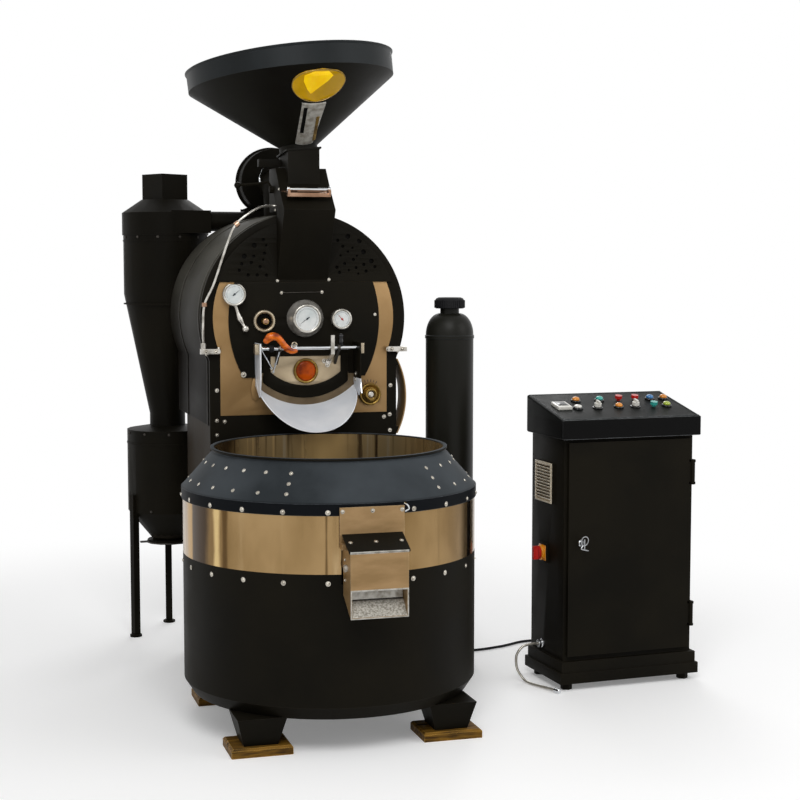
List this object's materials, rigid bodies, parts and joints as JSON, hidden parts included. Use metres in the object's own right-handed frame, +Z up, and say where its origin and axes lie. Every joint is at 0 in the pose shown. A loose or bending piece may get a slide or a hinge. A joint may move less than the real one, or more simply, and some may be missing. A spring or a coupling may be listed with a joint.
{
  "type": "coffee roaster",
  "caption": "Floor-standing drum coffee roaster with feed hopper, glazed discharge door, round cooling bin with stirrer, chaff cyclone, exhaust stack and a separate control cabinet.",
  "frame": {"origin": "on the floor under the middle of the pedestal", "axes": "+Z up, -Y towards the front of the roaster, where the door and the cooling bin are, +X to the right seen from the front, where the cabinet stands"},
  "size_m": [1.8341, 2.091, 2.195],
  "materials": {
    "black_powder_coat": "satin powder coat, very dark warm grey",
    "blue_black_paint": "satin paint, dark blue grey",
    "satin_bronze": "satin bronze coloured plate",
    "mirror_bronze": "polished bronze coloured sheet",
    "stainless": "brushed stainless steel",
    "dark_steel": "heat darkened steel",
    "grey_iron": "painted cast iron",
    "bright_chrome": "bright chrome",
    "amber_glass": "clear amber glass",
    "amber_grip": "glossy amber resin",
    "yellow_glass": "clear yellow glass",
    "black_rubber": "matt black rubber",
    "stained_wood": "stained wood",
    "red_plastic": "glossy red plastic",
    "teal_plastic": "glossy teal plastic",
    "white_plastic": "glossy white plastic"
  },
  "bodies": {
    "roaster": {"pedestal": "black_powder_coat", "barrel_jacket": "black_powder_coat", "front_plate": "black_powder_coat", "face_plate": "black_powder_coat", "perforated_cover": "black_powder_coat", "rear_plate": "black_powder_coat", "hopper": "black_powder_coat", "exhaust_fan": "black_powder_coat", "bin_skirt": "black_powder_coat", "cooling_blower": "black_powder_coat", "cyclone": "black_powder_coat", "chaff_bin": "black_powder_coat", "exhaust_stack": "black_powder_coat", "cabinet_body": "black_powder_coat", "cabinet_desk": "black_powder_coat", "feed_chute": "blue_black_paint", "bin_cone": "blue_black_paint", "bronze_panel": "satin_bronze", "outlet_box": "satin_bronze", "bin_band": "mirror_bronze", "bin_liner": "mirror_bronze", "discharge_scoop": "stainless", "cooling_screen": "stainless", "conduit": "stainless", "burner": "dark_steel", "drum_motor": "grey_iron", "stirrer_drive": "grey_iron", "gauge_tube": "bright_chrome", "pressure_gauge": "bright_chrome", "centre_gauge": "bright_chrome", "small_gauge": "bright_chrome", "hopper_window": "yellow_glass", "drive_belt": "black_rubber", "power_cable": "black_rubber", "foot_pad_front_left": "stained_wood", "foot_pad_front_right": "stained_wood", "foot_pad_rear_left": "stained_wood", "foot_pad_rear_right": "stained_wood"},
    "drum": {"drum": "dark_steel"},
    "motor_pulley": {"motor_pulley": "grey_iron"},
    "impeller": {"fan_impeller": "stainless"},
    "feed_gate": {"feed_gate": "satin_bronze"},
    "damper": {"damper_lever": "black_powder_coat"},
    "trier": {"sampling_trier": "satin_bronze"},
    "air_knob": {"air_knob": "satin_bronze"},
    "door": {"discharge_door": "satin_bronze", "door_window": "amber_glass", "door_handle": "amber_grip"},
    "latch": {"door_latch": "bright_chrome"},
    "stirrer": {"stirrer": "stainless"},
    "outlet_flap": {"outlet_flap": "stainless"},
    "chaff_gate": {"chaff_gate": "stainless"},
    "cabinet_door": {"cabinet_door": "black_powder_coat"},
    "door_key": {"door_key": "stainless"},
    "main_switch": {"main_switch": "red_plastic"},
    "stop_button_left": {"stop_button_left": "red_plastic"},
    "stop_button_right": {"stop_button_right": "red_plastic"},
    "start_button": {"start_button": "teal_plastic"},
    "selector_left": {"selector_left": "white_plastic"},
    "selector_right": {"selector_right": "white_plastic"}
  },
  "joints": [
    {"name": "drum_spin", "type": "hinge", "parent": "roaster", "child": "drum", "pos_m": [0, 0, 1.27], "axis": [0, 1, 0], "continuous": true},
    {"name": "motor_pulley_spin", "type": "hinge", "parent": "roaster", "child": "motor_pulley", "pos_m": [0, 0.5, 0.78], "axis": [0, 1, 0], "continuous": true},
    {"name": "impeller_spin", "type": "hinge", "parent": "roaster", "child": "impeller", "pos_m": [0.04, 0.485, 1.76], "axis": [0, 1, 0], "continuous": true},
    {"name": "feed_gate_slide", "type": "slide", "parent": "roaster", "child": "feed_gate", "axis": [0, -1, 0], "range_m": [0, 0.105]},
    {"name": "damper_turn", "type": "hinge", "parent": "roaster", "child": "damper", "pos_m": [-0.0973, -0.215, 1.712], "axis": [1, 0, 0], "range_deg": [0, 90]},
    {"name": "trier_slide", "type": "slide", "parent": "roaster", "child": "trier", "axis": [0, -1, 0], "range_m": [0, 0.15]},
    {"name": "air_knob_turn", "type": "hinge", "parent": "roaster", "child": "air_knob", "pos_m": [0.233, -0.2633, 1], "axis": [0, 1, 0], "range_deg": [0, 90]},
    {"name": "door_swing", "type": "hinge", "parent": "roaster", "child": "door", "pos_m": [0, -0.335, 1.168], "axis": [-1, 0, 0], "range_deg": [0, 60]},
    {"name": "latch_turn", "type": "hinge", "parent": "door", "child": "latch", "pos_m": [0.08, -0.2789, 1.118], "axis": [0, -1, 0], "range_deg": [0, 40]},
    {"name": "stirrer_spin", "type": "hinge", "parent": "roaster", "child": "stirrer", "pos_m": [-0.035, -0.75, 0.64], "axis": [0, 0, 1], "continuous": true},
    {"name": "outlet_flap_swing", "type": "hinge", "parent": "roaster", "child": "outlet_flap", "pos_m": [-0.023, -1.2593, 0.578], "axis": [-1, 0, 0], "range_deg": [0, 33]},
    {"name": "chaff_gate_swing", "type": "hinge", "parent": "roaster", "child": "chaff_gate", "pos_m": [-0.269, 0.607, 0.366], "axis": [0, 0, 1], "range_deg": [0, 35]},
    {"name": "cabinet_door_swing", "type": "hinge", "parent": "roaster", "child": "cabinet_door", "pos_m": [1.28879, -0.66764, 0.5], "axis": [0, 0, 1], "range_deg": [0, 110]},
    {"name": "key_turn", "type": "hinge", "parent": "cabinet_door", "child": "door_key", "pos_m": [0.86137, -0.69004, 0.509], "axis": [-0.0523, 0.9986, 0], "range_deg": [0, 90]},
    {"name": "main_switch_turn", "type": "hinge", "parent": "roaster", "child": "main_switch", "pos_m": [0.789, -0.51859, 0.452], "axis": [0.9986, 0.0523, 0], "range_deg": [0, 90]},
    {"name": "stop_button_left_press", "type": "slide", "parent": "roaster", "child": "stop_button_left", "axis": [-0.0112, 0.2146, -0.9766], "range_m": [0, 0.0035], "stiffness_N_per_m": 400},
    {"name": "stop_button_right_press", "type": "slide", "parent": "roaster", "child": "stop_button_right", "axis": [-0.0112, 0.2146, -0.9766], "range_m": [0, 0.0035], "stiffness_N_per_m": 400},
    {"name": "start_button_press", "type": "slide", "parent": "roaster", "child": "start_button", "axis": [-0.0112, 0.2146, -0.9766], "range_m": [0, 0.0035], "stiffness_N_per_m": 400},
    {"name": "selector_left_turn", "type": "hinge", "parent": "roaster", "child": "selector_left", "pos_m": [0.96814, -0.57429, 0.9574], "axis": [0.0112, -0.2146, 0.9766], "range_deg": [0, 90]},
    {"name": "selector_right_turn", "type": "hinge", "parent": "roaster", "child": "selector_right", "pos_m": [1.11475, -0.56661, 0.9574], "axis": [0.0112, -0.2146, 0.9766], "range_deg": [0, 90]}
  ],
  "couplings": [
    {"joint": "motor_pulley_spin", "follows": "drum_spin", "ratio": 2.8537}
  ]
}
